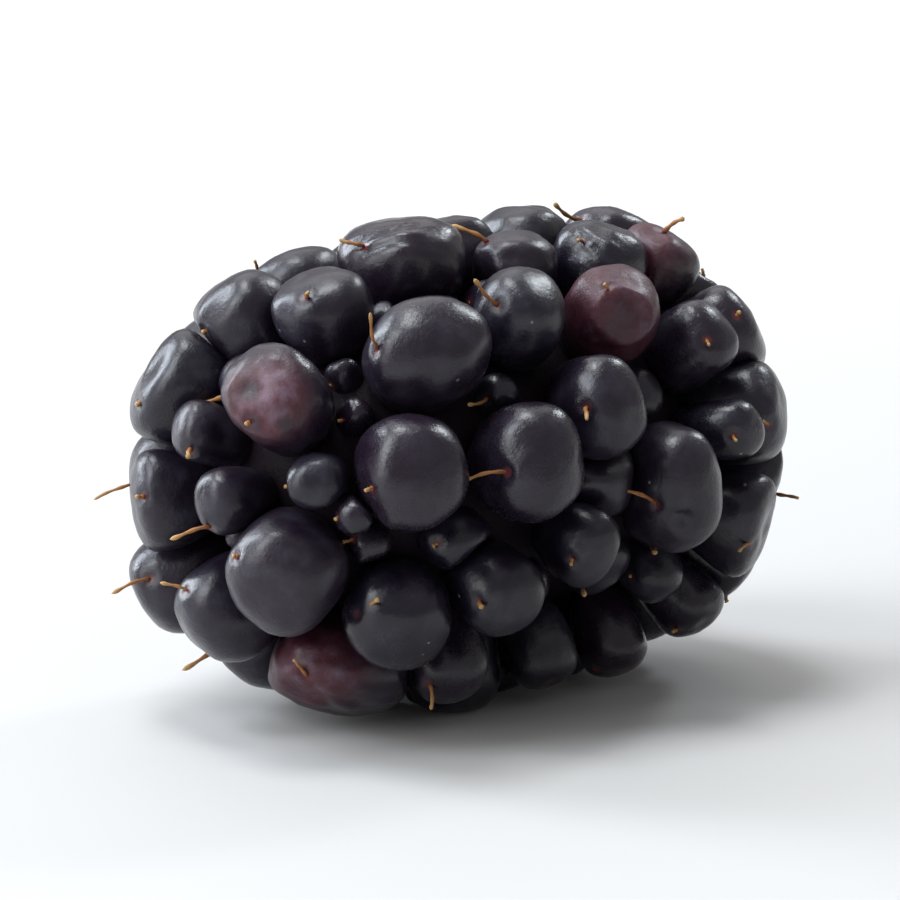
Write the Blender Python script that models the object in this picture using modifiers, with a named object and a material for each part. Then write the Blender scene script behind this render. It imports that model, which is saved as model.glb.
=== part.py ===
"""A ripe bramble berry, as picked, lying on its side.

The fruit grew as one piece: about eighty juicy drupelets, fused to their neighbours and to the
soft core that they grew on.  The core comes away with the fruit, and shows at the stem end as a
small round scar with a pit in it.  So the berry is one solid.

+X points from the tip to the stem end, +Z is up, and the origin is on the surface that the berry
lies on, under the middle of its box.  Sizes are in millimetres until the meshes are made.
"""

import math
import random

import bmesh
import bpy
import numpy as np
from mathutils import Matrix, Vector

MM = 0.001
HALVINGS = 40  # of an interval, to find where a line crosses the outline
GOLDEN_ANGLE = math.pi * (3 - math.sqrt(5))

# The outline, a turned shape.  At a share t of its half length, its radius is WIDEST_RADIUS times
# (1 - |t| ** power) ** (1 / root), with (power, root) of its own for the tip and for the stem end.
HALF_LENGTH = 15.2
WIDEST_RADIUS = 10.6
TIP_CURVE = (2.9, 2.1)
STEM_CURVE = (3.9, 2.5)
AXIS_HEIGHT = 10.1  # less than the radius: the soft drupelets underneath are pressed flat

# Drupelets are domes whose widest level, where they meet, lies this far under the outline.
CENTRE_DEPTH = 2.3
DOME_TO_WIDTH = 0.54
LEAST_DOME = 2.1
SEGMENTS = 10
RINGS = 7

# Where the drupelets sit, as (degrees from the tip, degrees round the axis, width).  Seen from the
# middle of the berry the tip is at 0 degrees and the stem end at 180; round the axis, 0 faces -Y
# and 90 is on top.  This is the front; the back follows spread_drupelets' rule.
FRONT = (
    (5, 20, 3.2), (14, 118, 3.0), (16, -172, 4.4), (19, -32, 5.1), (24, 18, 2.6), (23, 64, 4.9),
    (22, -98, 4.6), (28, 140, 4.6), (28, -137, 4.4), (30, 3, 1.6), (41, 119, 4.8),
    (41, 15, 5.1), (43, -36, 4.2), (43, -74, 5.3), (45, 88, 3.7), (54, 52, 5.5),
    (62, -57, 3.7), (64, -24, 3.9), (71, 12, 5.1), (78, 98, 5.5), (87, 56, 4.1),
    (91, -15, 3.7), (100, -63, 3.9), (100, 24, 4.4), (109, 85, 3.9), (117, 52, 4.4),
    (124, -64, 3.6), (121, -1, 4.9), (131, 79, 4.2), (138, -51, 4.2), (138, 11, 3.5),
    (138, 40, 3.9), (143, 70, 3.5), (144, -23, 4.6),
)

# Ten longer drupelets lie like petals round the scar at the stem end.
STEM_RING_COUNT = 10
STEM_RING_DEG = 160
STEM_RING_SHIFTS_DEG = (1.5, 4.0)  # most shift towards the tip and round the axis
STEM_RING_WIDTHS = (3.3, 3.8)
STEM_RING_STRETCH = 1.4
STEM_RING_GIVE = 0.2  # how readily it makes room, against 1 for the back

# The back, which is what lies round the axis beyond these two angles
FRONT_SPAN_DEG = (-72, 75)
FIRST_ROW_DEG = 15.0
ROW_PITCH_DEG = 19.0
ROWS = 8
COLUMN_PITCH = 4.1
MOST_SHIFT_DEG = 5.0
BACK_WIDTHS = (3.7, 5.2)
CLOSEST = 0.68  # a place nearer than this share of two half widths is already taken
PACKING = 0.95  # neighbours end at least this share of their two half widths apart
SETTLING_ROUNDS = 150
SETTLING_STEP = 0.6
SEED = 3

# Small low drupelets fill the roomiest gaps between the others, until none is this roomy.
LEAST_ROOM = 0.95
FILLER_TO_ROOM = 2.3
WIDEST_FILLER = 3.8
FILLER_DOME = 1.6
GAP_SAMPLES = 3000

# The core, and the scar where it broke from the stalk
CORE_DEPTH = 2.1
CORE_POINTS = 18
CORE_STEPS = 24
CORE_MERGE = 0.00001  # in metres
SCAR_FACE = 14.3  # along the axis from the berry's middle
SCAR_RADIUS = 2.3
SCAR_ROUNDING = 0.5
SCAR_ROUNDING_POINTS = 4
PIT_RADIUS = 0.9
PIT_DEPTH = 1.4


def onto_outline(points, depth):
    """Slides each point along its line from the middle, onto the outline sunk by this depth."""
    tip = points[:, 0] < 0
    power = np.where(tip, TIP_CURVE[0], STEM_CURVE[0])
    root = np.where(tip, TIP_CURVE[1], STEM_CURVE[1])
    along = np.abs(points[:, 0]) / (HALF_LENGTH - depth)
    across = np.hypot(points[:, 1], points[:, 2]) / (WIDEST_RADIUS - depth)
    low = np.zeros(len(points))
    high = 2 / (along + across)
    for _ in range(HALVINGS):
        middle = (low + high) / 2
        outside = (middle * along) ** power + (middle * across) ** root > 1
        high = np.where(outside, middle, high)
        low = np.where(outside, low, middle)
    return points * high[:, None]


def outward(points, depth):
    """The outline's unit normals: the gradient of along ** power + across ** root."""
    tip = points[:, 0] < 0
    power = np.where(tip, TIP_CURVE[0], STEM_CURVE[0])
    root = np.where(tip, TIP_CURVE[1], STEM_CURVE[1])
    length = HALF_LENGTH - depth
    width = WIDEST_RADIUS - depth
    radius = np.hypot(points[:, 1], points[:, 2])
    slope_along = np.sign(points[:, 0]) * power * np.abs(points[:, 0] / length) ** (power - 1) / length
    slope_across = root * (radius / width) ** (root - 1) / width
    normals = np.stack([
        slope_along,
        slope_across * points[:, 1] / radius,
        slope_across * points[:, 2] / radius,
    ], axis=1)
    return normals / np.linalg.norm(normals, axis=1, keepdims=True)


def place(from_tip_deg, round_deg):
    """The centre of a drupelet at these two angles."""
    from_tip = math.radians(from_tip_deg)
    turn = math.radians(round_deg)
    ray = np.array([[
        -math.cos(from_tip),
        -math.sin(from_tip) * math.cos(turn),
        math.sin(from_tip) * math.sin(turn),
    ]])
    return onto_outline(ray, CENTRE_DEPTH)[0]


def spread_drupelets(rng):
    """The centres and widths of all but the fillers: the front, the stem ring and the back's rows.

    The rows are settled: neighbours that crowd each other move apart over the outline, while the
    front stays where it is and the stem ring gives a little.
    """
    centres = [place(from_tip, turn) for from_tip, turn, _ in FRONT]
    widths = [width for _, _, width in FRONT]
    mobility = [0.0] * len(FRONT)
    towards_tip, around = STEM_RING_SHIFTS_DEG
    for k in range(STEM_RING_COUNT):
        turn = 360 * (k + 0.5) / STEM_RING_COUNT + around * rng.uniform(-1, 1)
        centres.append(place(STEM_RING_DEG + towards_tip * rng.uniform(-1, 1), turn))
        widths.append(rng.uniform(*STEM_RING_WIDTHS))
        mobility.append(STEM_RING_GIVE)
    for row in range(ROWS):
        from_tip = FIRST_ROW_DEG + row * ROW_PITCH_DEG
        girth = 2 * math.pi * np.hypot(*place(from_tip, 0)[1:])
        columns = int(girth / COLUMN_PITCH)
        for column in range(columns):
            turn = 360 * (column + (row % 2) / 2) / columns - 180
            turn += MOST_SHIFT_DEG * rng.uniform(-1, 1)
            in_front = FRONT_SPAN_DEG[0] < turn < FRONT_SPAN_DEG[1]
            centre = place(from_tip, turn)
            width = rng.uniform(*BACK_WIDTHS)
            room = min(
                np.linalg.norm(centre - other) - CLOSEST * (width + other_width) / 2
                for other, other_width in zip(centres, widths)
            )
            if room > 0 and not in_front:
                centres.append(centre)
                widths.append(width)
                mobility.append(1.0)
    return settled(np.array(centres), np.array(widths), np.array(mobility)), np.array(widths)


def settled(centres, widths, mobility):
    """Pushes crowded centres apart, each by its share of mobility, and keeps them on the outline."""
    apart = PACKING * (widths[:, None] + widths[None]) / 2
    share = mobility[:, None] / np.maximum(mobility[:, None] + mobility[None], 1e-9)
    for _ in range(SETTLING_ROUNDS):
        between = centres[:, None] - centres[None]
        distance = np.linalg.norm(between, axis=2) + np.eye(len(centres)) * 1e3
        push = np.clip(apart - distance, 0, None) * share * SETTLING_STEP
        centres = centres + (between / distance[..., None] * push[..., None]).sum(axis=1)
        centres = onto_outline(centres, CENTRE_DEPTH)
    return centres


def fill_gaps(centres, widths):
    """Adds small drupelets where there is most room, looking at points spread evenly in a spiral."""
    number = np.arange(GAP_SAMPLES) + 0.5
    along = 1 - 2 * number / GAP_SAMPLES
    turn = number * GOLDEN_ANGLE
    across = np.sqrt(1 - along ** 2)
    rays = np.stack([along, across * np.cos(turn), across * np.sin(turn)], axis=1)
    points = onto_outline(rays, CENTRE_DEPTH)
    points = points[points[:, 0] < place(STEM_RING_DEG, 0)[0]]
    while True:
        distances = np.linalg.norm(points[:, None] - centres[None], axis=2)
        room = (distances - widths / 2).min(axis=1)
        roomiest = room.argmax()
        if room[roomiest] < LEAST_ROOM:
            return centres, widths
        centres = np.vstack([centres, points[roomiest]])
        widths = np.append(widths, min(FILLER_TO_ROOM * room[roomiest], WIDEST_FILLER))


# Solids


def paint(name, color, roughness):
    """A plain material for a solid."""
    material = bpy.data.materials.new(name)
    material.use_nodes = True
    shader = material.node_tree.nodes["Principled BSDF"]
    shader.inputs["Base Color"].default_value = (*color, 1)
    shader.inputs["Roughness"].default_value = roughness
    shader.inputs["Metallic"].default_value = 0
    material.diffuse_color = (*color, 1)
    return material


def new_collection(name):
    collection = bpy.data.collections.new(name)
    bpy.context.scene.collection.children.link(collection)
    return collection


def new_object(name, mesh, collection, parent):
    obj = bpy.data.objects.new(name, mesh)
    obj.parent = parent
    collection.objects.link(obj)
    return obj


def make_helper(obj):
    """Keeps a shape that another is joined to or cut with out of the finished model."""
    obj.hide_render = True
    obj.display_type = "WIRE"


def frames_on(directions):
    """For each direction a frame as three columns: along the berry, round it, and outwards."""
    across = np.cross([1, 0, 0], directions)
    across /= np.linalg.norm(across, axis=1, keepdims=True)
    return np.stack([np.cross(across, directions), across, directions], axis=2)


def half_sizes(widths, first_filler):
    """For each drupelet its half length, half width and the height of its dome."""
    stretch = np.ones(len(widths))
    stretch[len(FRONT):len(FRONT) + STEM_RING_COUNT] = STEM_RING_STRETCH
    domes = np.maximum(widths * DOME_TO_WIDTH, LEAST_DOME)
    domes[first_filler:] = FILLER_DOME
    return np.stack([stretch * widths / 2, widths / 2, domes], axis=1)


def middle_of(centres, frames, sizes):
    """The middle of the box round all the ellipsoids."""
    reach = np.linalg.norm(frames * sizes[:, None, :], axis=2)
    return ((centres - reach).min(axis=0) + (centres + reach).max(axis=0)) / 2


def make_drupelet(number, centre, frame, sizes, collection, parent):
    """A dome: the outer half of an ellipsoid, whose inner half is lost in the core."""
    bm = bmesh.new()
    matrix = (
        Matrix.Translation(Vector(centre) * MM)
        @ Matrix(frame).to_4x4()
        @ Matrix.Diagonal((*(sizes * MM), 1))
    )
    bmesh.ops.create_uvsphere(bm, u_segments=SEGMENTS, v_segments=RINGS, radius=1, matrix=matrix)
    mesh = bpy.data.meshes.new(f"drupelet_{number:02d}")
    bm.to_mesh(mesh)
    bm.free()
    mesh.shade_smooth()
    make_helper(new_object(mesh.name, mesh, collection, parent))


def core_profile():
    """Half the core's section, from its tip round to the bottom of the pit: (along, radius)."""
    last = math.pi - math.asin(SCAR_RADIUS / (HALF_LENGTH - CORE_DEPTH))
    turns = np.linspace(0, last, CORE_POINTS)
    rays = np.stack([-np.cos(turns), np.zeros(CORE_POINTS), np.sin(turns)], axis=1)
    outline = onto_outline(rays, CORE_DEPTH)[:, [0, 2]]
    outline[0, 1] = 0
    outline[-1, 1] = SCAR_RADIUS
    corner = np.linspace(0, math.pi / 2, SCAR_ROUNDING_POINTS)
    edge = np.stack([
        SCAR_FACE - SCAR_ROUNDING * (1 - np.sin(corner)),
        SCAR_RADIUS - SCAR_ROUNDING * (1 - np.cos(corner)),
    ], axis=1)
    floor = SCAR_FACE - PIT_DEPTH
    pit = [(SCAR_FACE, PIT_RADIUS), (floor, PIT_RADIUS / 2), (floor, 0)]
    return np.concatenate([outline, edge, pit])


def make_core(collection, parent, material):
    """The turned core: its profile, carried round the berry's axis."""
    mesh = bpy.data.meshes.new("berry")
    points = [(along * MM, 0, radius * MM) for along, radius in core_profile()]
    mesh.from_pydata(points, [(i, i + 1) for i in range(len(points) - 1)], [])
    mesh.materials.append(material)
    core = new_object("berry", mesh, collection, parent)
    screw = core.modifiers.new("turn", "SCREW")
    screw.axis = "X"
    screw.steps = screw.render_steps = CORE_STEPS
    screw.use_merge_vertices = True
    screw.merge_threshold = CORE_MERGE
    return core


def make_ground_cutter(collection):
    """A block under the surface that the berry lies on: it takes off what would reach below."""
    bm = bmesh.new()
    bmesh.ops.create_cube(bm, size=1)
    mesh = bpy.data.meshes.new("ground_cutter")
    bm.to_mesh(mesh)
    bm.free()
    cutter = new_object("ground_cutter", mesh, collection, None)
    cutter.scale = Vector((3 * HALF_LENGTH, 3 * HALF_LENGTH, HALF_LENGTH)) * MM
    cutter.location.z = -HALF_LENGTH / 2 * MM
    make_helper(cutter)
    return cutter


for startup_object in list(bpy.data.objects):
    bpy.data.objects.remove(startup_object)

part = new_collection("bramble_berry")
joined = new_collection("drupelets_to_join")
cutters = new_collection("cutters")

centres, widths = spread_drupelets(random.Random(SEED))
first_filler = len(widths)
centres, widths = fill_gaps(centres, widths)
frames = frames_on(outward(centres, CENTRE_DEPTH))
sizes = half_sizes(widths, first_filler)

axis = bpy.data.objects.new("berry_axis", None)
part.objects.link(axis)
axis.location = Vector((-middle_of(centres, frames, sizes)) * MM)
axis.location.z = AXIS_HEIGHT * MM

berry = make_core(part, axis, paint("drupelet_skin", (0.012, 0.010, 0.016), 0.35))
for number, drupelet in enumerate(zip(centres, frames, sizes)):
    make_drupelet(number, *drupelet, joined, axis)

union = berry.modifiers.new("drupelets", "BOOLEAN")
union.operation = "UNION"
union.operand_type = "COLLECTION"
union.collection = joined

ground = berry.modifiers.new("pressed_flat", "BOOLEAN")
ground.operation = "DIFFERENCE"
ground.object = make_ground_cutter(cutters)
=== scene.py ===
"""The looks of a ripe bramble berry, as picked, lying on its side.

The fruit is nearly a hundred plump drupelets grown together on a soft core.  This script repeats
where each of them grows, swells them until they press on their neighbours, and gives each its
skin, its pit and the dried style that stands in the pit.

Sizes are in millimetres in the berry's own axes, from its tip (-X) to its stem end (+X), until
settle_down() places a surface on the ground, in metres.
"""

import math
import random

import bpy
import numpy as np
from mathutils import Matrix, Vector


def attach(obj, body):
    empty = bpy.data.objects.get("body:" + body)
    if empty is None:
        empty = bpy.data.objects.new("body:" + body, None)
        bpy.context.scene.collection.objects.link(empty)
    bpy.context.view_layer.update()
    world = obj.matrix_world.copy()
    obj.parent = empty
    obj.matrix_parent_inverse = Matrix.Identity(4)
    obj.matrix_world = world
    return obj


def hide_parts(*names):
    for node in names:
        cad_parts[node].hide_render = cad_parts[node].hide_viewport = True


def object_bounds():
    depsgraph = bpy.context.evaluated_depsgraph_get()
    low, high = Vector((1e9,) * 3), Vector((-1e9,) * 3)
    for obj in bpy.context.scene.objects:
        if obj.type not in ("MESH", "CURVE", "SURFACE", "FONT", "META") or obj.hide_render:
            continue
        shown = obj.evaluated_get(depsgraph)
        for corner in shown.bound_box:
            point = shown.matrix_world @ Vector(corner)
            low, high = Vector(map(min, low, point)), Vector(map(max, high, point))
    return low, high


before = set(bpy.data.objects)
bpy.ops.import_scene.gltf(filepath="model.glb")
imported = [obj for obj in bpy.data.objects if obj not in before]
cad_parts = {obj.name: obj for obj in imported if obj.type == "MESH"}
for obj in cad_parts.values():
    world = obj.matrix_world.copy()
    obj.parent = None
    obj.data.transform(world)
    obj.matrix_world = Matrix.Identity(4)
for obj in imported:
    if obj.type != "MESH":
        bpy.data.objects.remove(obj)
cad_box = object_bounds()


# ---------------------------------------------------------------------------------------------
# The plan that the berry grew by.  Drupelets sit on a turned outline, blunter at the stem than at
# the tip: the front ones each at its own place, ten round the stem like petals, the back in rows
# that have pushed each other into even places, and small late ones in the gaps that were left.

MM = 0.001
HALVINGS = 40
GOLDEN_ANGLE = math.pi * (3 - math.sqrt(5))
HALF_LENGTH = 15.2
WIDEST_RADIUS = 10.6
TIP_CURVE = (2.9, 2.1)
STEM_CURVE = (3.9, 2.5)
AXIS_HEIGHT = 10.1
CENTRE_DEPTH = 2.3
DOME_TO_WIDTH = 0.54
LEAST_DOME = 2.1

# The front drupelets, as measured: (degrees from the tip, degrees round the axis, width), where
# turn 0 faces -Y and 90 is on top.
FRONT = (
    (5, 20, 3.2), (14, 118, 3.0), (16, -172, 4.4), (19, -32, 5.1), (24, 18, 2.6), (23, 64, 4.9),
    (22, -98, 4.6), (28, 140, 4.6), (28, -137, 4.4), (30, 3, 1.6), (41, 119, 4.8),
    (41, 15, 5.1), (43, -36, 4.2), (43, -74, 5.3), (45, 88, 3.7), (54, 52, 5.5),
    (62, -57, 3.7), (64, -24, 3.9), (71, 12, 5.1), (78, 98, 5.5), (87, 56, 4.1),
    (91, -15, 3.7), (100, -63, 3.9), (100, 24, 4.4), (109, 85, 3.9), (117, 52, 4.4),
    (124, -64, 3.6), (121, -1, 4.9), (131, 79, 4.2), (138, -51, 4.2), (138, 11, 3.5),
    (138, 40, 3.9), (143, 70, 3.5), (144, -23, 4.6),
)
STEM_RING_COUNT = 10
STEM_RING_DEG = 160
STEM_RING_SHIFTS_DEG = (1.5, 4.0)
STEM_RING_WIDTHS = (3.3, 3.8)
STEM_RING_STRETCH = 1.4
STEM_RING_GIVE = 0.2
FRONT_SPAN_DEG = (-72, 75)
FIRST_ROW_DEG = 15.0
ROW_PITCH_DEG = 19.0
ROWS = 8
COLUMN_PITCH = 4.1
MOST_SHIFT_DEG = 5.0
BACK_WIDTHS = (3.7, 5.2)
CLOSEST = 0.68
PACKING = 0.95
SETTLING_ROUNDS = 150
SETTLING_STEP = 0.6
GROWTH_SEED = 3
LEAST_ROOM = 0.7
FILLER_TO_ROOM = 2.3
WIDEST_FILLER = 3.8
FILLER_DOME = 1.6
GAP_SAMPLES = 3000
FAR_OFF = 1e3  # stands in for a drupelet's distance to itself


def onto_outline(points, depth):
    """Slides each point along its line from the middle onto the outline sunk by this depth, where
    (x / half length) ** power + (distance from the axis / radius) ** root = 1, by halving."""
    tip = points[:, 0] < 0
    power = np.where(tip, TIP_CURVE[0], STEM_CURVE[0])
    root = np.where(tip, TIP_CURVE[1], STEM_CURVE[1])
    along = np.abs(points[:, 0]) / (HALF_LENGTH - depth)
    across = np.hypot(points[:, 1], points[:, 2]) / (WIDEST_RADIUS - depth)
    low = np.zeros(len(points))
    high = 2 / (along + across)
    for _ in range(HALVINGS):
        middle = (low + high) / 2
        outside = (middle * along) ** power + (middle * across) ** root > 1
        high = np.where(outside, middle, high)
        low = np.where(outside, low, middle)
    return points * high[:, None]


def outward(points, depth):
    """The sunk outline's unit normals: the gradient of along ** power + across ** root."""
    tip = points[:, 0] < 0
    power = np.where(tip, TIP_CURVE[0], STEM_CURVE[0])
    root = np.where(tip, TIP_CURVE[1], STEM_CURVE[1])
    length = HALF_LENGTH - depth
    width = WIDEST_RADIUS - depth
    radius = np.hypot(points[:, 1], points[:, 2])
    slope_along = np.sign(points[:, 0]) * power * np.abs(points[:, 0] / length) ** (power - 1) / length
    slope_across = root * (radius / width) ** (root - 1) / width
    normals = np.stack([
        slope_along,
        slope_across * points[:, 1] / radius,
        slope_across * points[:, 2] / radius,
    ], axis=1)
    return normals / np.linalg.norm(normals, axis=1, keepdims=True)


def place(from_tip_deg, round_deg):
    """The point of the centre surface at these two angles, as seen from the berry's middle."""
    from_tip = math.radians(from_tip_deg)
    turn = math.radians(round_deg)
    ray = np.array([[
        -math.cos(from_tip),
        -math.sin(from_tip) * math.cos(turn),
        math.sin(from_tip) * math.sin(turn),
    ]])
    return onto_outline(ray, CENTRE_DEPTH)[0]


def spread_drupelets(rng):
    """The centres and widths of all but the late small drupelets: the front's, the stem ring's, and
    rows of the back's wherever there is room between those placed before."""
    centres = [place(from_tip, turn) for from_tip, turn, _ in FRONT]
    widths = [width for _, _, width in FRONT]
    mobility = [0.0] * len(FRONT)
    towards_tip, around = STEM_RING_SHIFTS_DEG
    for k in range(STEM_RING_COUNT):
        turn = 360 * (k + 0.5) / STEM_RING_COUNT + around * rng.uniform(-1, 1)
        centres.append(place(STEM_RING_DEG + towards_tip * rng.uniform(-1, 1), turn))
        widths.append(rng.uniform(*STEM_RING_WIDTHS))
        mobility.append(STEM_RING_GIVE)
    for row in range(ROWS):
        from_tip = FIRST_ROW_DEG + row * ROW_PITCH_DEG
        girth = 2 * math.pi * np.hypot(*place(from_tip, 0)[1:])
        columns = int(girth / COLUMN_PITCH)
        for column in range(columns):
            turn = 360 * (column + (row % 2) / 2) / columns - 180
            turn += MOST_SHIFT_DEG * rng.uniform(-1, 1)
            in_front = FRONT_SPAN_DEG[0] < turn < FRONT_SPAN_DEG[1]
            centre = place(from_tip, turn)
            width = rng.uniform(*BACK_WIDTHS)
            room = min(
                np.linalg.norm(centre - other) - CLOSEST * (width + other_width) / 2
                for other, other_width in zip(centres, widths)
            )
            if room > 0 and not in_front:
                centres.append(centre)
                widths.append(width)
                mobility.append(1.0)
    return settled(np.array(centres), np.array(widths), np.array(mobility)), np.array(widths)


def settled(centres, widths, mobility):
    """Pushes crowded centres apart, each by its share of mobility, and keeps them on the outline."""
    apart = PACKING * (widths[:, None] + widths[None]) / 2
    share = mobility[:, None] / np.maximum(mobility[:, None] + mobility[None], 1e-9)
    for _ in range(SETTLING_ROUNDS):
        between = centres[:, None] - centres[None]
        distance = np.linalg.norm(between, axis=2) + np.eye(len(centres)) * FAR_OFF
        push = np.clip(apart - distance, 0, None) * share * SETTLING_STEP
        centres = centres + (between / distance[..., None] * push[..., None]).sum(axis=1)
        centres = onto_outline(centres, CENTRE_DEPTH)
    return centres


def fill_gaps(centres, widths):
    """Adds small drupelets where there is most room, looking at points spread evenly in a spiral."""
    number = np.arange(GAP_SAMPLES) + 0.5
    along = 1 - 2 * number / GAP_SAMPLES
    turn = number * GOLDEN_ANGLE
    across = np.sqrt(1 - along ** 2)
    rays = np.stack([along, across * np.cos(turn), across * np.sin(turn)], axis=1)
    points = onto_outline(rays, CENTRE_DEPTH)
    points = points[points[:, 0] < place(STEM_RING_DEG, 0)[0]]
    while True:
        distances = np.linalg.norm(points[:, None] - centres[None], axis=2)
        room = (distances - widths / 2).min(axis=1)
        roomiest = room.argmax()
        if room[roomiest] < LEAST_ROOM:
            return centres, widths
        centres = np.vstack([centres, points[roomiest]])
        widths = np.append(widths, min(FILLER_TO_ROOM * room[roomiest], WIDEST_FILLER))


def frames_on(directions):
    """For each direction a frame as three columns: towards the tip, downwards round the berry's
    front, and outwards."""
    across = np.cross([1, 0, 0], directions)
    across /= np.linalg.norm(across, axis=1, keepdims=True)
    return np.stack([np.cross(across, directions), across, directions], axis=2)


centres, widths = spread_drupelets(random.Random(GROWTH_SEED))
first_late = len(widths)
centres, widths = fill_gaps(centres, widths)
count = len(widths)
frames = frames_on(outward(centres, CENTRE_DEPTH))
in_stem_ring = (np.arange(count) >= len(FRONT)) & (np.arange(count) < len(FRONT) + STEM_RING_COUNT)
stretches = np.where(in_stem_ring, STEM_RING_STRETCH, 1)
domes = np.maximum(widths * DOME_TO_WIDTH, LEAST_DOME)
domes[first_late:] = FILLER_DOME
half_sizes = np.stack([stretches * widths / 2, widths / 2, domes], axis=1)

reach = np.linalg.norm(frames * half_sizes[:, None, :], axis=2)
middle = ((centres - reach).min(axis=0) + (centres + reach).max(axis=0)) / 2
settling = np.array([-middle[0], -middle[1], AXIS_HEIGHT])


def settle_down(points):
    """Moves points from the berry's own axes to where it lies, and turns millimetres to metres."""
    return (points + settling) * MM


# ---------------------------------------------------------------------------------------------
# The receptacle, the soft core that the drupelets grew on.  Between them it is wet and stained with
# juice, and coloured near-black as painted shade for the deep gaps between the drupelets.  At the
# stem end it broke from the stalk, which left a fibrous golden-brown ring round a brown pit, deep
# between the last drupelets.

CORE_DEPTH = 4.0
CORE_ROWS = 70
CORE_COLUMNS = 160
NECK_RADIUS = 2.0
SCAR_FACE = 13.8
SCAR_RADIUS = 2.05
SCAR_LIP = 0.42
PIT_RADIUS = 0.85
PIT_DEPTH = 0.9
SCAR_ROWS = 80
SCAR_LENGTH = 1.6
SCAR_LOBES = ((2, 0.07, 1.2), (3, 0.05, 0.6), (5, 0.03, 2.1))  # waves round it, share, phase
RING_MIDDLE = 1.6
RING_HALF_WIDTH = 0.6
FIBRES = 46
FIBRE_HEIGHT = 0.05
FIBRE_SWERVE = (3, 2.5, 1)  # radians, feature, seed
ROUGH_HEIGHT = 0.13
ROUGHNESS = ((1, 0.6, 2), (0.8, 0.3, 3))  # share, feature, seed
RAGGED_SHARE = 0.035
RAGGEDNESS = ((1, 0.7, 4), (0.6, 0.28, 9))  # share, feature, seed
ROUNDINGS = 3
RIPPLE_WAVES = 14
RIPPLE_SPREAD = (0.6, 1.3)

# The core's colours: juice stain, kept near-black as painted shade for the gaps between drupelets.
JUICE_AND_SHADE_BLACK = (0.0035, 0.0022, 0.0035, 1)
JUICE_AND_SHADE_PURPLE = (0.009, 0.004, 0.0075, 1)
OLIVE = (0.080, 0.048, 0.018, 1)
STRAW_YELLOW = (0.210, 0.135, 0.050, 1)
PITH_BROWN = (0.060, 0.030, 0.015, 1)
PIT_BROWN = (0.020, 0.010, 0.006, 1)


def ripple(points, feature, seed):
    """A smooth unevenness in space, about -1 to 1: the sum of plane waves whose crests are about
    this many millimetres apart, each in a direction and phase of its own."""
    rng = np.random.default_rng(seed)
    ways = rng.normal(size=(RIPPLE_WAVES, 3))
    lengths = np.linalg.norm(ways, axis=1, keepdims=True)
    ways *= 2 * math.pi / feature * rng.uniform(*RIPPLE_SPREAD, (RIPPLE_WAVES, 1)) / lengths
    phases = rng.uniform(0, 2 * math.pi, RIPPLE_WAVES)
    return np.cos(points @ ways.T + phases).sum(axis=-1) / math.sqrt(2 * RIPPLE_WAVES)


def rippled(points, layers):
    """Several ripples of these shares, features and seeds laid over each other."""
    return sum(share * ripple(points, feature, seed) for share, feature, seed in layers)


def close_poles(grid):
    """From a grid (lumps, rows, columns, ...) whose first and last rows are each one point, the
    same as one list for each lump: first point, inner rows, last point."""
    inner = grid[:, 1:-1].reshape(len(grid), -1, *grid.shape[3:])
    return np.concatenate([grid[:, 0, :1], inner, grid[:, -1, :1]], axis=1)


def lump_faces(lumps, rows, columns):
    """Quads between neighbouring rows, and a fan of triangles round each end's point, for closed
    lumps that are each laid out as close_poles() does."""
    size = rows * columns + 2
    row, column = np.meshgrid(np.arange(rows - 1), np.arange(columns), indexing="ij")
    after = (column + 1) % columns
    here = 1 + row * columns
    below = here + columns
    quads = np.stack([here + column, below + column, below + after, here + after], -1)
    column = np.arange(columns)
    after = (column + 1) % columns
    last = 1 + (rows - 1) * columns
    first_fan = np.stack([column * 0, 1 + column, 1 + after], -1)
    last_fan = np.stack([last + column, column * 0 + size - 1, last + after], -1)
    starts = np.arange(lumps)[:, None, None] * size
    fans = np.concatenate([first_fan, last_fan])
    return (quads.reshape(-1, 4) + starts).reshape(-1, 4), (fans + starts).reshape(-1, 3)


def add_piece(name, grid, material, attributes):
    """A mesh of closed lumps from a grid of points (lumps, rows, columns, 3) in the berry's axes,
    with these named numbers on its points, lying where the berry lies and riding with it."""
    lumps, rows, columns, _ = grid.shape
    points = settle_down(close_poles(grid)).reshape(-1, 3)
    quads, fans = lump_faces(lumps, rows - 2, columns)
    mesh = bpy.data.meshes.new(name)
    mesh.from_pydata(points.tolist(), [], quads.tolist() + fans.tolist())
    for label, values in attributes.items():
        layer = mesh.attributes.new(label, "FLOAT", "POINT")
        layer.data.foreach_set("value", close_poles(values).astype(np.float32).ravel())
    mesh.shade_smooth()
    mesh.materials.append(material)
    piece = bpy.data.objects.new(name, mesh)
    bpy.context.scene.collection.objects.link(piece)
    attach(piece, "root")
    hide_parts("berry")


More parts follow.
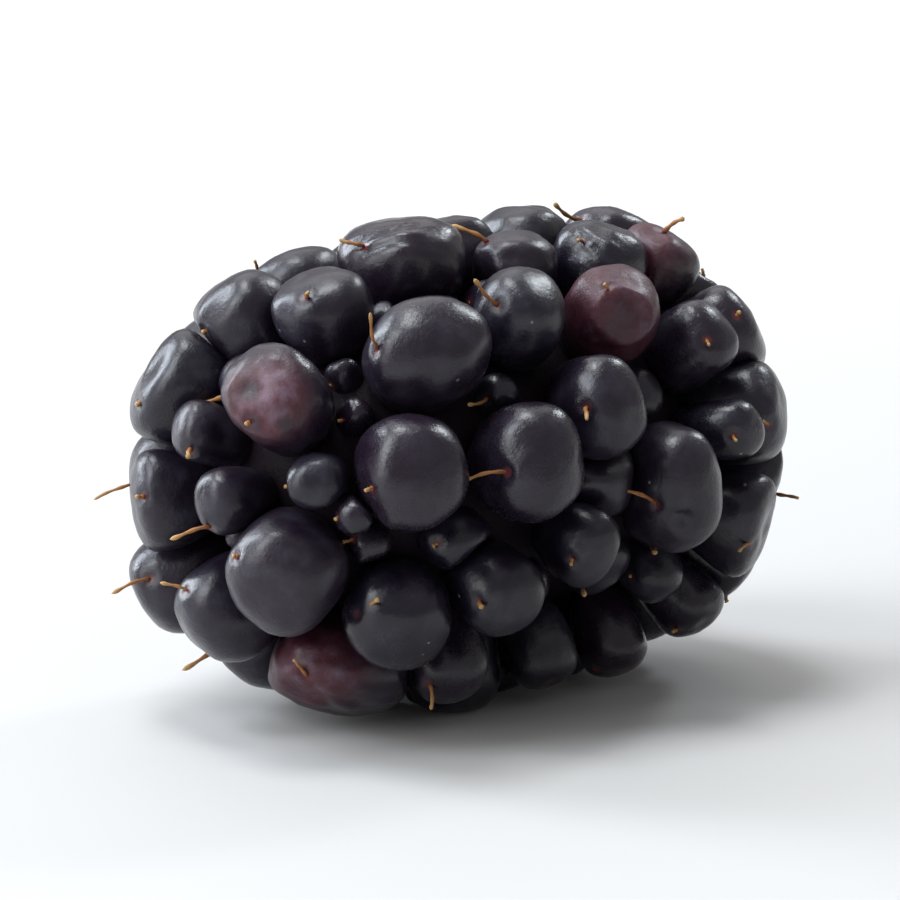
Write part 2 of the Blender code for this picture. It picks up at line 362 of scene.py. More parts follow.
class Reading:
    """A node's output, read as a number at each point: sums and products of it add Math nodes."""

    def __init__(self, tree, socket=None):
        self.tree = tree
        self.socket = socket

    def node(self, kind, settings, sockets, output=0):
        """Adds a node: its settings first, then the value or the link of each socket."""
        node = self.tree.nodes.new(kind)
        for name, value in settings.items():
            setattr(node, name, value)
        for name, value in sockets.items():
            if isinstance(value, Reading):
                self.tree.links.new(value.socket, node.inputs[name])
            else:
                node.inputs[name].default_value = value
        return Reading(self.tree, node.outputs[output])

    def maths(self, operation, *values):
        """Adds a Math node with these values or readings on its sockets."""
        return self.node("ShaderNodeMath", {"operation": operation}, dict(enumerate(values)))

    def __add__(self, other):
        return self.maths("ADD", self, other)

    def __sub__(self, other):
        return self.maths("SUBTRACT", self, other)

    def __rsub__(self, other):
        return self.maths("SUBTRACT", other, self)

    def __mul__(self, other):
        return self.maths("MULTIPLY", self, other)

    __radd__ = __add__
    __rmul__ = __mul__

    def step(self, start, end):
        """0 up to start and 1 from end on, rising smoothly between them; or falling, if start is
        the larger."""
        sockets = {0: self, 1: start, 2: end, 3: 0.0, 4: 1.0}
        return self.node("ShaderNodeMapRange", {"interpolation_type": "SMOOTHSTEP"}, sockets)

    def colour(self, low, high):
        """The colour low where this is 0, high where it is 1, and mixed between.  Either may be a
        colour that varies."""
        settings = {"data_type": "RGBA", "clamp_factor": True}
        return self.node("ShaderNodeMix", settings, {0: self, 6: low, 7: high}, 2)

    def attribute(self, name):
        """The number of this name that the piece carries on its points."""
        return self.node("ShaderNodeAttribute", {"attribute_name": name}, {}, 2)

    def position(self):
        """Where the point is in the object's own coordinates, in metres."""
        return self.node("ShaderNodeTexCoord", {}, {}, 3)

    def noise(self, feature, detail=2.0, rough=0.5):
        """Soft noise, 0 to 1, whose patches are about this many millimetres across."""
        scale = 1 / (feature * MM)
        sockets = {"Vector": self.position(), "Scale": scale, "Detail": detail, "Roughness": rough}
        return self.node("ShaderNodeTexNoise", {}, sockets)

    def bump(self, height, millimetres, strength):
        """A normal bent by a height of 0 to 1, where 1 stands this many millimetres proud."""
        sockets = {"Height": height, "Distance": millimetres * MM, "Strength": strength}
        return self.node("ShaderNodeBump", {}, sockets)


def new_finish(name, constants, varying):
    """A Principled material with constants on its own sockets.  varying is called with a blank
    Reading, and gives the readings that vary over the surface."""
    material = bpy.data.materials.new(name)
    material.use_nodes = True
    tree = material.node_tree
    shader = tree.nodes["Principled BSDF"]
    for socket, value in constants.items():
        shader.inputs[socket].default_value = value
    for socket, reading in varying(Reading(tree)).items():
        tree.links.new(reading.socket, shader.inputs[socket])
    return material


def core_profile():
    """The core's half section from the tip to the bottom of the scar's pit, as (along, radius):
    the sunk outline, drawn in to a neck, out again to the scar's rounded lip, and into the pit."""
    last = math.pi - math.asin(NECK_RADIUS / (HALF_LENGTH - CORE_DEPTH))
    turns = np.linspace(0, last, CORE_ROWS)
    rays = np.stack([-np.cos(turns), np.zeros(CORE_ROWS), np.sin(turns)], axis=1)
    body = onto_outline(rays, CORE_DEPTH)[:, [0, 2]]
    body[0, 1] = 0
    share = np.linspace(0, 1, SCAR_ROWS)
    corners = np.array([
        (SCAR_FACE - SCAR_LENGTH, NECK_RADIUS * 0.95),
        (SCAR_FACE - 0.7, SCAR_RADIUS * 0.98),
        (SCAR_FACE - 0.15, SCAR_RADIUS),
        (SCAR_FACE + 0.05, SCAR_RADIUS - SCAR_LIP),
        (SCAR_FACE - 0.12, PIT_RADIUS + 0.35),
        (SCAR_FACE - 0.45, PIT_RADIUS),
        (SCAR_FACE - PIT_DEPTH * 0.8, PIT_RADIUS * 0.75),
        (SCAR_FACE - PIT_DEPTH, PIT_RADIUS * 0.4),
        (SCAR_FACE - PIT_DEPTH - 0.05, 0),
    ])
    steps = np.linalg.norm(np.diff(corners, axis=0), axis=1)
    lengths = np.concatenate([[0], np.cumsum(steps)])
    scar = np.stack([np.interp(share, lengths / lengths[-1], side) for side in corners.T], axis=1)
    for _ in range(ROUNDINGS):
        scar[1:-1] = (scar[:-2] + 2 * scar[1:-1] + scar[2:]) / 4
    return np.concatenate([body, scar])


def turned_core():
    """The profile carried round the axis, uneven by turn near the scar, with fibres across its
    ring: radius = profile radius * (1 + lobes) and along = profile along + fibres."""
    along, radius = core_profile().T[:, :, None]
    turns = 2 * math.pi * np.arange(CORE_COLUMNS) / CORE_COLUMNS
    near_scar = np.clip(along - (SCAR_FACE - SCAR_LENGTH), 0, 1)
    lobes = sum(share * np.cos(waves * turns + phase) for waves, share, phase in SCAR_LOBES)
    radius = radius * (1 + near_scar * lobes)
    sides = np.broadcast_arrays(along, radius * np.cos(turns), -radius * np.sin(turns))
    points = np.stack(sides, axis=-1)
    on_ring = near_scar * np.exp(-((radius - RING_MIDDLE) / RING_HALF_WIDTH) ** 2)
    fibres = np.cos(FIBRES * turns + rippled(points, [FIBRE_SWERVE]))
    rough = rippled(points, ROUGHNESS)
    points[..., 0] += on_ring * (FIBRE_HEIGHT * fibres + ROUGH_HEIGHT * rough)
    ragged = rippled(points, RAGGEDNESS)
    points[..., 1:] *= 1 + RAGGED_SHARE * (near_scar * ragged)[..., None]
    points[0] = points[0].mean(axis=0)
    points[-1] = points[-1].mean(axis=0)
    return points[None]


def receptacle_finish(blank):
    """Juice-stained and near-black as painted shade for the gaps between the drupelets, but for the
    scar, whose pit, ring and edge follow one another outwards.
    """
    from_axis = blank.attribute("from_axis") + (blank.noise(0.7) - 0.5) * 0.5
    scar = blank.attribute("along").step(SCAR_FACE - 0.9, SCAR_FACE - 0.4)
    blotches = blank.noise(0.5, 4)
    fibres = blank.noise(0.16, 3, 0.6)
    ring = (blotches * 0.55 + fibres * 0.55).step(0.38, 0.75).colour(OLIVE, STRAW_YELLOW)
    inside = from_axis.step(0.35, 0.8).colour(PIT_BROWN, PITH_BROWN)
    face = from_axis.step(0.75, 1.5).colour(inside, ring)
    face = from_axis.step(1.5, 2.0).colour(face, PITH_BROWN)
    # The core between the drupelets: juice-stained and near-black, painted shade for the deep gaps.
    juicy_and_shaded = blank.noise(1.2).colour(JUICE_AND_SHADE_BLACK, JUICE_AND_SHADE_PURPLE)
    return {
        "Base Color": scar.colour(juicy_and_shaded, face),
        "Roughness": 0.45 + scar * 0.3 + fibres * 0.15,
        "Normal": blank.bump(fibres * 0.7 + blotches * 0.5, 0.06, 0.8),
    }


core_grid = turned_core()
receptacle = new_finish("receptacle", {"Specular IOR Level": 0.08}, receptacle_finish)
add_piece("receptacle", core_grid, receptacle, {
    "along": core_grid[..., 0],
    "from_axis": np.hypot(core_grid[..., 1], core_grid[..., 2]),
})


# ---------------------------------------------------------------------------------------------
# The ripe drupelets, some eighty thin-skinned bags of juice.  Each swelled until it pressed on its
# neighbours, so it is round on top and flat-sided below.  The skin is blue-black to plum-black
# with a satin wax, and has a small pit towards the berry's tip, where the style grew.

BRUISED = (5, 13, 25, 32, 57)
ROOT_DEPTH = 3.0
OUTLINE_PLUMPNESS = 2.15  # powers of the rounding: 2 is an ellipsoid
TOP_PLUMPNESS = 2.6
FLANK_PLUMPNESS = 2.2

# Each drupelet's length, width and dome as shares of its plan, and how far its middle lies from
# the plan's towards the tip, down round the front and outwards: the usual one, a late one, and
# those that grew otherwise.
USUAL_SHAPE = (1.03, 1.03, 0.85, 0, 0, 0.35)
LATE_SHAPE = (0.8, 0.8, 0.8, 0, 0, -1.7)
PETAL_SHAPE = (1.16, 1.32, 0.90, 0.15, 0, 0.25)
ODD_SHAPES = {
    0: (0.75, 0.85, 0.60, 0, 0, 0.4), 1: (0.90, 0.80, 0.55, 0, 0, 0.3),
    2: (0.80, 1.00, 0.45, 0, 0, 0.9), 3: (0.96, 0.96, 0.85, 0, 0, 0.3),
    4: (1.00, 0.85, 0.60, 0, 0, 0.3), 5: (0.88, 0.90, 0.80, -0.30, 0.25, 0.6),
    6: (0.95, 0.95, 0.85, 0, 0, 0.35), 7: (1.10, 1.10, 0.65, 0, 0, 0.8),
    8: (0.95, 1.00, 0.85, 0, 0, 0.9), 9: (1.00, 1.00, 0.50, 0, 0, 0.4),
    10: (0.92, 0.92, 0.85, 0, 0, 0.3), 11: (0.94, 0.94, 0.85, 0, 0, 0.3),
    12: (1.08, 1.00, 0.85, 0.2, 0, 0.3), 13: (1.15, 1.10, 0.50, 0, 0, 0.75),
    14: (1.12, 1.10, 0.70, -0.2, 0, 0.2), 15: (1.04, 0.78, 0.80, 0, 0.2, 0.2),
    16: (0.95, 0.95, 0.85, 0, 0, 0.35), 17: (0.93, 0.93, 0.85, 0, 0.2, 0.3),
    18: (0.85, 1.02, 0.85, 0, 0, 0.3), 19: (1.00, 1.00, 0.62, 0, 0, 0.55),
    20: (0.95, 0.95, 0.85, 0, 0, 0.35), 21: (0.75, 0.92, 0.72, 0, 0, 0.3),
    22: (0.80, 0.80, 0.68, 0, 0, 0.7), 23: (0.80, 1.00, 0.80, 0, 0, 0.3),
    24: (1.00, 0.90, 0.65, 0, 0, 0.1), 25: (0.93, 0.93, 0.82, -0.2, 0, 0.25),
    26: (0.82, 0.82, 0.65, 0, 0, 0.9), 27: (0.80, 1.10, 0.80, 0, 0.2, 0.3),
    28: (1.00, 1.00, 0.78, 0, 0, 0.1), 29: (0.80, 0.80, 0.72, 0, 0, 0.6),
    30: (0.80, 0.75, 0.68, 0, 0, 0.5), 31: (0.80, 0.95, 0.72, 0, 0, 0.3),
    32: (1.05, 1.05, 0.65, 0, -0.8, 0.9), 33: (0.80, 1.10, 0.45, 0, 0, 0.9),
    80: (1.45, 1.45, 1.00, 0, 0, -1.7), 82: (1.05, 1.05, 0.90, 0, 0, -1.1),
    86: (1.45, 1.15, 1.00, -0.9, 0, -1.6), 88: (1.30, 1.30, 1.00, 0, 0, -1.0),
    89: (1.10, 1.10, 1.00, 0, 0, -1.8), 90: (1.50, 1.50, 1.00, -0.3, 0, -1.6),
    91: (0.80, 0.80, 0.80, 0, 0, -2.1), 92: (2.20, 1.90, 1.30, -0.2, 0, -1.6),
    93: (1.50, 1.50, 1.20, 0, 0, -1.2), 94: (1.40, 1.40, 1.20, 0, 0, -1.2),
    95: (1.40, 1.40, 1.20, 0, 0, -1.2),
}
CREASE_GAP = 0.05
LEAST_PLANE = 0.35  # nearest that a neighbour presses to a drupelet's middle
CREASE_ROUNDING = 11
NEAREST_COSINE = 0.05
PIT_TILT_DEG = (60, 9)  # usual, and how much it varies either way
PIT_HEADING_DEG = 18  # how much it varies either way
PIT_WIDTH = 0.30
PIT_DENT = 0.10
PIT_RIM = 0.012
RIM_TO_PIT = (1.7, 0.5)  # the rim's radius and half width as shares of the pit's width
CRUMPLE_FEATURE = 1.1
CRUMPLE_SEED = 7
UNEVENNESS = ((0.12, 3.6, 8), (0.045, 1.8, 5), (0.014, 0.8, 6))  # share, feature, seed
ROW_GATHERING = 1.3  # rows crowd round the pit by this power
SKIN_SEED = 11
RIPE_ROWS = 27
RIPE_COLUMNS = 48
SPECK_PITCH = 1.1

# Pits away from the usual place, most of them as measured: drupelet number, (tilt from its top,
# heading from the tip's way, upwards), in degrees.
SEEN_PITS = {
    0: (51, -71), 2: (55, -20), 3: (50, 15), 5: (50, -27), 10: (64, 5), 11: (58, -10),
    12: (75, 10), 13: (75, 24), 14: (48, -30), 15: (68, 5), 17: (60, 8), 18: (62, -4),
    20: (60, -6), 22: (30, 57), 23: (57, -3), 25: (36, -5), 27: (65, -12), 30: (50, -10),
    31: (50, -30), 32: (30, 17),
}

# How high the skin of a few stands in crumples: drupelet number, height.
CRUMPLED = {5: 0.03, 13: 0.05, 24: 0.03, 25: 0.02, 27: 0.02, 28: 0.05, 57: 0.05, 63: 0.04, 69: 0.05}

# Creases in the skin, each a part of a ring: drupelet number, then for each crease the (tilt,
# heading) of the ring's middle, its radius and half width in degrees, its depth, and the (tilt,
# heading) and half length of the part that is creased.
CREASES = {
    19: [
        ((132, -49), 66, 4, 0.16, (56, -54), 80), ((132, -49), 84, 4, 0.20, (56, -54), 90),
        ((132, -49), 101, 4, 0.16, (56, -54), 90),
    ],
    24: [((147, -56), 80, 6, 0.14, (60, -50), 60)],
    25: [((50, -55), 34, 6, -0.10, (50, -55), 80)],
    28: [
        ((139, 3), 72, 5, 0.12, (76, -46), 60), ((139, 3), 90, 5, 0.14, (70, -46), 70),
        ((139, 3), 110, 5, 0.12, (60, -46), 70),
    ],
}

# Dents: drupelet number, then for each dent the (tilt, heading) of its middle, its half width in
# degrees and its depth.
RIPE_DENTS = {
    6: [((25, -60), 28, 0.10)],
    7: [((45, -60), 30, 0.14)],
    10: [((42, -50), 32, 0.14)],
    17: [((35, 75), 26, 0.08)],
    18: [((28, 45), 16, 0.06)],
    23: [((35, -95), 28, 0.14)],
    24: [((62, -41), 26, 0.1)],
    27: [((39, -46), 18, 0.42)],
    29: [((25, 40), 24, 0.12)],
}

BLUE_BLACK = (0.0065, 0.0056, 0.0120, 1)
PLUM_BLACK = (0.0145, 0.0073, 0.0155, 1)
WAX_GREY = (0.033, 0.031, 0.046, 1)
SPECK_GREY = (0.150, 0.150, 0.170, 1)
WINE_RED = (0.062, 0.012, 0.018, 1)
MAUVE = (0.130, 0.082, 0.114, 1)
PIT_PINK = (0.120, 0.022, 0.022, 1)


def on_drupelet(k, tilt_deg, heading_deg):
    """The direction tilted this far from drupelet k's outward one, towards the berry's tip and
    then turned upwards round its front by the heading."""
    tilt = math.radians(tilt_deg)
    heading = math.radians(heading_deg)
    to_tip, down, out = frames[k].T
    level = math.cos(heading) * to_tip - math.sin(heading) * down
    return math.cos(tilt) * out + math.sin(tilt) * level


def own_reach(k, directions):
    """How far drupelet k would reach if it grew alone.  It is domed above its widest level and
    nearly straight-sided below: 1 / (level ** p + (height / its share) ** p) ** (1 / p), where
    level is a rounding of its two level components with a power of its own."""
    local = np.abs(directions @ frames[k])
    out = directions @ frames[k][:, 2]
    half_length, half_width, dome = half_sizes[k]
    power = OUTLINE_PLUMPNESS
    level = (local[..., 0] / half_length) ** power + (local[..., 1] / half_width) ** power
    level = level ** (1 / power)
    power = np.where(out > 0, TOP_PLUMPNESS, FLANK_PLUMPNESS)
    height = local[..., 2] / np.where(out > 0, dome, ROOT_DEPTH)
    return (level ** power + height ** power) ** (-1 / power)


shapes = np.tile(USUAL_SHAPE, (count, 1))
shapes[first_late:] = LATE_SHAPE
shapes[in_stem_ring] = PETAL_SHAPE
for k, shape in ODD_SHAPES.items():
    shapes[k] = shape
half_sizes *= shapes[:, :3]
centres += (frames @ shapes[:, 3:, None])[..., 0]

# Two neighbours meet on the plane where their reaches towards each other, taken as the radii of
# two balls, cross.  A drupelet's plane against itself is put far off, outwards.
apart = centres[None] - centres[:, None]
distances = np.linalg.norm(apart, axis=2) + np.eye(count) * FAR_OFF
towards = apart / distances[..., None]
towards[range(count), range(count)] = frames[:, :, 2]
towards_reach = np.array([own_reach(k, towards[k]) for k in range(count)])
planes = (distances ** 2 + towards_reach ** 2 - towards_reach.T ** 2) / (2 * distances)
planes = np.maximum(planes - CREASE_GAP / 2, LEAST_PLANE)


def pressed_reach(k, directions):
    """How far drupelet k reaches among its neighbours: its own reach and the distances to the
    planes where it meets each of them and the ground, as a rounded minimum,
    sum(distance ** -p) ** (-1 / p)."""
    facing = directions @ towards[k].T
    to_planes = planes[k] / np.maximum(facing, NEAREST_COSINE)
    to_planes = np.where(facing > NEAREST_COSINE, to_planes, np.inf)
    facing_down = -directions[..., 2]
    to_ground = (centres[k, 2] + AXIS_HEIGHT) / np.maximum(facing_down, NEAREST_COSINE)
    to_ground = np.where(facing_down > NEAREST_COSINE, to_ground, np.inf)
    power = -CREASE_ROUNDING
    total = own_reach(k, directions) ** power + (to_planes ** power).sum(axis=-1) + to_ground ** power
    return total ** (1 / power)


skin_rng = np.random.default_rng(SKIN_SEED)
pit_ways = np.zeros((count, 3))
for k in range(count):
    tilt = PIT_TILT_DEG[0] + PIT_TILT_DEG[1] * skin_rng.uniform(-1, 1)
    heading = PIT_HEADING_DEG * skin_rng.uniform(-1, 1)
    pit_ways[k] = on_drupelet(k, *SEEN_PITS.get(k, (tilt, heading)))
tones = skin_rng.uniform(0, 1, count)
waxes = skin_rng.uniform(0, 1, count)


def bowl(directions, way, width_deg):
    """1 in the middle of a round hollow about this direction, 0 from this many degrees out."""
    angle = np.degrees(np.arccos(np.clip(directions @ way, -1, 1))) / width_deg
    return np.clip(1 - angle ** 2, 0, 1) ** 2


def ring(directions, way, radius_deg, width_deg):
    """1 along a ring of this radius about the way, and 0 well inside and outside it:
    exp(-((angle - radius) / width) ** 2)."""
    angle = np.degrees(np.arccos(np.clip(directions @ way, -1, 1)))
    return np.exp(-((angle - radius_deg) / width_deg) ** 2)


def drupelet(k, rows, columns, dents=(), blushes_and_shade=()):
    """Drupelet k's skin on a grid whose poles are its pit and the point opposite.  Rows are steps
    of the angle from the pit, columns turns about it: point = centre + radius * direction, where
    radius is the reach less the dents, the creases and the pit, plus a soft unevenness.  Blushes
    are the round places where it is red, or less red where their amount is negative; the less red
    places in the dents of 5 and 25 make those dents darker as painted shade."""
    angles = (math.pi * np.linspace(0, 1, rows) ** ROW_GATHERING)[:, None]
    turns = 2 * math.pi * np.arange(columns) / columns
    pit = pit_ways[k]
    aside = np.cross(pit, frames[k][:, 1])
    aside /= np.linalg.norm(aside)
    level = np.cos(turns)[:, None] * aside + np.sin(turns)[:, None] * np.cross(pit, aside)
    directions = np.cos(angles)[..., None] * pit + np.sin(angles)[..., None] * level
    radius = pressed_reach(k, directions)
    from_pit = angles * radius
    where = centres[k] + radius[..., None] * directions
    for way, width_deg, depth in dents:
        radius = radius - depth * bowl(directions, on_drupelet(k, *way), width_deg)
    for way, radius_deg, width_deg, depth, middle_way, length_deg in CREASES.get(k, ()):
        crease = ring(directions, on_drupelet(k, *way), radius_deg, width_deg)
        creased = bowl(directions, on_drupelet(k, *middle_way), length_deg)
        radius = radius - depth * crease * creased
    if k in CRUMPLED:
        radius = radius + CRUMPLED[k] * ripple(where, CRUMPLE_FEATURE, CRUMPLE_SEED)
    radius = radius + rippled(where, UNEVENNESS)
    radius = radius - PIT_DENT * np.exp(-(from_pit / PIT_WIDTH) ** 2)
    rim_radius, rim_width = (share * PIT_WIDTH for share in RIM_TO_PIT)
    radius = radius + PIT_RIM * np.exp(-((from_pit - rim_radius) / rim_width) ** 2)
    points = centres[k] + radius[..., None] * directions
    points[..., 2] = np.maximum(points[..., 2], -AXIS_HEIGHT)
    redness = np.zeros((rows, columns))
    # Negative amounts leave places less red and so darker: in the dents of 5 and 25, painted shade.
    for way, width_deg, amount in blushes_and_shade:
        redness = redness + amount * bowl(directions, on_drupelet(k, *way), width_deg)
    return points, from_pit, np.clip(redness, 0, 1)


def add_drupelets(name, members, rows, columns, finish, dents, blushes_and_shade):
    """The drupelets with these numbers as one piece, with what its finish reads on its points."""
    grids = [drupelet(k, rows, columns, dents.get(k, ()), blushes_and_shade.get(k, ())) for k in members]
    points, from_pit, redness = (np.array(each) for each in zip(*grids))
    whole = np.ones((1, rows, columns))
    add_piece(name, points, finish, {
        "from_pit": from_pit,
        "redness": redness,
        "tone": tones[members, None, None] * whole,
        "wax": waxes[members, None, None] * whole,
    })


def skin_finish(blank):
    """Black skin, each drupelet its own tone, with thin wax, pale specks, fine pores and a pink
    pit.  It turns wine red, mottled with mauve, where the drupelet is bruised."""
    tone = blank.attribute("tone")
    wax = blank.attribute("wax")
    patches = blank.noise(1.1, 3)
    grain = blank.noise(0.16, 3, 0.6)
    dimples = blank.noise(0.4, 3, 0.6)
    pores = blank.noise(0.07, 2)
    base = (tone * 0.8 + patches * 0.6 - 0.2).colour(BLUE_BLACK, PLUM_BLACK)
    waxed = (patches.step(0.4, 0.75) * (0.25 + 0.45 * wax)) * (0.55 + 0.9 * grain)
    base = waxed.colour(base, WAX_GREY)
    cells = {"Scale": 1 / (SPECK_PITCH * MM), "Vector": blank.position()}
    specks = blank.node("ShaderNodeTexVoronoi", {}, cells).step(0.085, 0.045)
    cell_colour = blank.node("ShaderNodeTexVoronoi", {}, cells, 1)
    chance = blank.node("ShaderNodeSeparateColor", {}, {"Color": cell_colour})
    specks = specks * chance.step(0.55, 0.60)
    base = specks.colour(base, SPECK_GREY)
    redness = blank.attribute("redness")
    red = (redness + (patches - 0.5) * 0.5 * redness.step(0.0, 0.3)).step(0.05, 0.85)
    mottling = blank.noise(0.7, 4, 0.6)
    flesh = (redness * 0.8 + mottling * 1.4).step(1.0, 1.8).colour(WINE_RED, MAUVE)
    base = red.colour(base, flesh)
    from_pit = blank.attribute("from_pit") + (grain - 0.5) * 0.18
    in_pit = from_pit.step(0.30, 0.10) * (0.25 + 0.6 * tone)
    return {
        "Base Color": in_pit.colour(base, PIT_PINK),
        "Roughness": 0.15 + 0.10 * wax + 0.10 * patches + 0.10 * grain + 0.25 * red,
        "Coat Weight": 0.30 - 0.24 * red,
        "Normal": blank.bump(dimples + grain * 0.5 + pores * 0.3, 0.045, 0.7),
    }


SKIN = {"IOR": 1.38, "Coat Roughness": 0.27, "Coat IOR": 1.42}
ripe = np.array([k for k in range(count) if k not in BRUISED and not in_stem_ring[k]])
ripe_skin = new_finish("ripe_skin", SKIN, skin_finish)
add_drupelets("ripe_drupelets", ripe, RIPE_ROWS, RIPE_COLUMNS, ripe_skin, RIPE_DENTS, {})


# ---------------------------------------------------------------------------------------------
# The bruised drupelets.  Five never blackened, or were pressed by other berries: their skin is wine
# red to mauve, dull, and sunk in where the juice has gone.  A finer mesh holds their dents.

BRUISED_ROWS = 56
BRUISED_COLUMNS = 96

BRUISED_DENTS = {
    5: [((18, -20), 34, 0.32), ((44, -48), 26, 0.20)],
    13: [((55, 15), 34, 0.25), ((60, 75), 30, 0.2)],
    25: [((50, -58), 40, 0.48)],
    32: [((50, 0), 30, 0.15)],
    57: [((20, 20), 40, 0.4)],
}

# Blushes: drupelet number, then for each the (tilt, heading) of its middle, its half width in
# degrees and how red it is, or how much less red.  The less red places in the dents of 5 and 25
# are painted shade.
BLUSHES_AND_DENT_SHADE = {
    5: [((25, -66), 84, 1.0), ((15, -18), 22, -0.7), ((47, -35), 16, -0.6), ((60, -75), 14, -0.4)],
    13: [((60, 20), 130, 0.70), ((69, 110), 50, -0.3), ((20, 60), 40, -0.4)],
    25: [((30, -40), 180, 0.68), ((50, -55), 36, -0.30)],
    32: [((60, 10), 150, 0.65)],
    57: [((20, 0), 250, 0.6)],
}

bruised = np.array(BRUISED)
bruised_sizes = (BRUISED_ROWS, BRUISED_COLUMNS)
add_drupelets("bruised_drupelets", bruised, *bruised_sizes, ripe_skin, BRUISED_DENTS, BLUSHES_AND_DENT_SHADE)


# ---------------------------------------------------------------------------------------------
# The stem-end drupelets, ten longer ones that lie side by side like petals round the scar.  Their
# skin is that of the other ripe ones, and they grew on the same core.

STEM_ROWS = 44
STEM_COLUMNS = 72

petals = np.flatnonzero(in_stem_ring)
add_drupelets("stem_drupelets", petals, STEM_ROWS, STEM_COLUMNS, ripe_skin, {}, {})


# ---------------------------------------------------------------------------------------------
# The dried styles, thin brown hairs left from the flower.  One stands in the pit of each drupelet,
# but near the ground they have rubbed off.  Some are whole and curl over, with a blunt pale end, and
# the rest have broken to a stub.

STYLE_ROWS = 16
STYLE_COLUMNS = 8
STYLE_RADIUS = 0.10
STYLE_END_RADIUS = 0.07
STYLE_LENGTHS = (0.9, 2.0)
STUB_LENGTHS = (0.2, 0.5)
WHOLE_SHARE = 0.5
STYLE_WAVE = 0.035
STYLE_WAVES = 5.0
WAVE_SHIFT = 9  # radians for a bend of 1, so that no two are alike
STYLE_ROOT = 0.12
END_BULGE = (0.35, 0.9, 0.08)  # how much, where and how wide as shares of the length
KNOBBLINESS = 0.18
KNOBBLES = 17
KNOBBLE_SHIFT = 20
END_SQUARENESS = 24
MOST_LEAN_DEG = 35
BENDS = (0.1, 0.5)
THICKNESSES = (0.8, 1.2)
LOWEST_STYLE = 2.0
STYLE_SEED = 5

# Styles with a lean, length and bend of their own, the long ones of 8 to 32 as measured: drupelet
# number, (tilt, heading, length, bend).
SEEN_STYLES = {
    0: (30, -18, 1.7, 0.3), 3: (50, 15, 0.15, 0.1), 5: (50, -27, 0.15, 0.1), 8: (40, 0, 1.7, 0.3),
    10: (60, 15, 0.2, 0.1), 12: (100, 100, 1.2, 0.5), 13: (125, 20, 1.1, 0.2),
    15: (45, 72, 1.8, 0.35), 18: (105, 0, 1.9, 0.25), 20: (62, 47, 1.8, 0.3),
    27: (110, 33, 1.9, 0.35), 32: (22, -93, 1.2, 0.2), 80: (60, 0, 0.1, 0.1),
    87: (60, 0, 0.15, 0.1), 88: (60, 0, 0.15, 0.1), 89: (60, 0, 0.1, 0.1), 90: (60, 0, 0.1, 0.1),
    91: (60, 0, 0.15, 0.1), 92: (60, 0, 0.1, 0.1), 93: (60, 0, 0.1, 0.1), 95: (60, 0, 0.1, 0.1),
    96: (60, 0, 0.1, 0.1),
}

STYLE_RED = (0.12, 0.028, 0.008, 1)
STYLE_GOLD = (0.30, 0.13, 0.04, 1)
STYLE_STRAW = (0.42, 0.25, 0.10, 1)


def hair(root, way, aside, length, bend, thickness):
    """A tapered round hair.  Its line is root + length * (s * way + bend * s * s * aside + small
    waves square to both) for s from 0 to 1, and uneven rings stand square to it."""
    s = np.linspace(0, 1, STYLE_ROWS)[:, None]
    binormal = np.cross(way, aside)
    phase = WAVE_SHIFT * bend
    waves = STYLE_WAVE * (np.sin(STYLE_WAVES * s + phase) - math.sin(phase))
    line = root + length * (s * way + bend * s * s * aside + waves * binormal)
    wave_slope = STYLE_WAVE * STYLE_WAVES * np.cos(STYLE_WAVES * s + phase)
    tangent = way + 2 * bend * s * aside + wave_slope * binormal
    tangent /= np.linalg.norm(tangent, axis=1, keepdims=True)
    normal = np.cross(binormal, tangent)
    normal /= np.linalg.norm(normal, axis=1, keepdims=True)
    binormal = np.cross(tangent, normal)
    bulge, bulge_place, bulge_width = END_BULGE
    radius = STYLE_RADIUS + (STYLE_END_RADIUS - STYLE_RADIUS) * s
    radius = radius * (1 + bulge * np.exp(-((s - bulge_place) / bulge_width) ** 2))
    radius = radius * (1 + KNOBBLINESS * np.sin(KNOBBLES * s + KNOBBLE_SHIFT * bend))
    closing = np.clip(1 - np.abs(2 * s - 1) ** END_SQUARENESS, 0, 1)
    radius = radius * thickness * np.sqrt(closing)
    turns = 2 * math.pi * np.arange(STYLE_COLUMNS) / STYLE_COLUMNS
    rings = np.cos(turns)[:, None] * normal[:, None] - np.sin(turns)[:, None] * binormal[:, None]
    return line[:, None] + radius[..., None] * rings, np.broadcast_to(s, (STYLE_ROWS, STYLE_COLUMNS))


def style_finish(blank):
    """Dry and fibrous: red-brown in the pit, then golden, then straw-coloured at the end."""
    along = blank.attribute("along") + (blank.noise(0.3) - 0.5) * 0.4
    colour = along.step(0.0, 0.5).colour(STYLE_RED, STYLE_GOLD)
    grain = blank.noise(0.05, 3)
    return {
        "Base Color": along.step(0.6, 1.0).colour(colour, STYLE_STRAW),
        "Roughness": 0.5 + grain * 0.3,
        "Normal": blank.bump(grain, 0.02, 0.6),
    }


